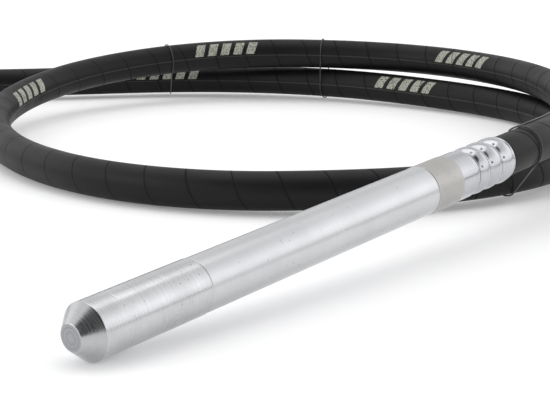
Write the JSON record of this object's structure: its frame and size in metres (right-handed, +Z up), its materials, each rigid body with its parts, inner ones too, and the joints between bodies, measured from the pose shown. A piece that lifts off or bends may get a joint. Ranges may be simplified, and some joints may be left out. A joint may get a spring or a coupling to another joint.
{
  "type": "concrete vibrator",
  "caption": "Flexible-shaft concrete vibrator: steel poker head, crimped ferrule, coiled black rubber hose with drive core, and a motor-end coupling with union nut.",
  "frame": {"origin": "on the floor under the middle of the vibrating head with its ferrule", "axes": "+X from the nose along the head towards the hose, +Z up"},
  "size_m": [0.8854, 1.06, 0.0745],
  "materials": {
    "zinc_plated_steel": "satin zinc-plated turned steel",
    "matte_steel": "matte bead-blasted steel",
    "bright_steel": "bright plated steel",
    "bearing_steel": "ground and polished",
    "dark_steel": "black oxide",
    "spring_steel": "phosphated spring steel",
    "brass_cage": "machined brass",
    "hose_rubber": "wrapped-finish black rubber",
    "seal_rubber": "matte nitrile rubber",
    "tie_wire": "grey coated wire"
  },
  "bodies": {
    "casing": {"nose_cap": "zinc_plated_steel", "nose_o_ring": "seal_rubber", "wave_washer": "spring_steel", "front_bearing_outer_ring": "bearing_steel", "head_tube": "zinc_plated_steel", "rear_bearing_outer_ring": "bearing_steel", "bearing_circlip": "spring_steel", "oil_seal": "seal_rubber", "rear_adaptor": "matte_steel", "adaptor_o_ring": "seal_rubber", "hose_ferrule": "bright_steel", "hose_nipple": "dark_steel", "hose": "hose_rubber", "hose_liner": "spring_steel", "flexible_core": "spring_steel", "motor_ferrule": "bright_steel", "motor_nipple": "dark_steel", "coupling_body": "zinc_plated_steel", "spindle_bearing_outer_ring": "bearing_steel", "coupling_circlip": "spring_steel", "spindle_seal": "seal_rubber", "tie_right": "tie_wire", "tie_middle": "tie_wire", "tie_left": "tie_wire"},
    "rotor": {"eccentric_rotor": "dark_steel", "front_bearing_inner_ring": "bearing_steel", "rear_bearing_inner_ring": "bearing_steel", "rotor_circlip": "spring_steel", "drive_socket": "dark_steel", "core_tip": "dark_steel"},
    "front_cage": {"front_bearing_cage": "brass_cage", "front_bearing_balls": "bearing_steel"},
    "rear_cage": {"rear_bearing_cage": "brass_cage", "rear_bearing_balls": "bearing_steel"},
    "spindle": {"drive_spindle": "dark_steel", "motor_core_tip": "dark_steel", "spindle_bearing_inner_ring": "bearing_steel", "spindle_circlip": "spring_steel"},
    "spindle_cage": {"spindle_bearing_cage": "brass_cage", "spindle_bearing_balls": "bearing_steel"},
    "nut": {"union_nut": "zinc_plated_steel"}
  },
  "joints": [
    {"name": "rotor_spin", "type": "hinge", "parent": "casing", "child": "rotor", "pos_m": [-0.10322, 0, 0.02617], "axis": [0.9963, 0, 0.0854], "continuous": true},
    {"name": "front_cage_spin", "type": "hinge", "parent": "casing", "child": "front_cage", "pos_m": [-0.10322, 0, 0.02617], "axis": [0.9963, 0, 0.0854], "continuous": true},
    {"name": "rear_cage_spin", "type": "hinge", "parent": "casing", "child": "rear_cage", "pos_m": [0.09953, 0, 0.04356], "axis": [0.9963, 0, 0.0854], "continuous": true},
    {"name": "spindle_spin", "type": "hinge", "parent": "casing", "child": "spindle", "pos_m": [0.16648, 1.00123, 0.0226], "axis": [-0.5944, 0.8042, 0], "continuous": true},
    {"name": "spindle_cage_spin", "type": "hinge", "parent": "casing", "child": "spindle_cage", "pos_m": [0.16648, 1.00123, 0.0226], "axis": [-0.5944, 0.8042, 0], "continuous": true},
    {"name": "nut_spin", "type": "hinge", "parent": "casing", "child": "nut", "pos_m": [0.16083, 1.00887, 0.0226], "axis": [-0.5944, 0.8042, 0], "continuous": true}
  ],
  "couplings": [
    {"joint": "front_cage_spin", "follows": "rotor_spin", "ratio": 0.3678},
    {"joint": "rear_cage_spin", "follows": "rotor_spin", "ratio": 0.3678},
    {"joint": "spindle_spin", "follows": "rotor_spin", "ratio": 1},
    {"joint": "spindle_cage_spin", "follows": "rotor_spin", "ratio": 0.3678}
  ]
}
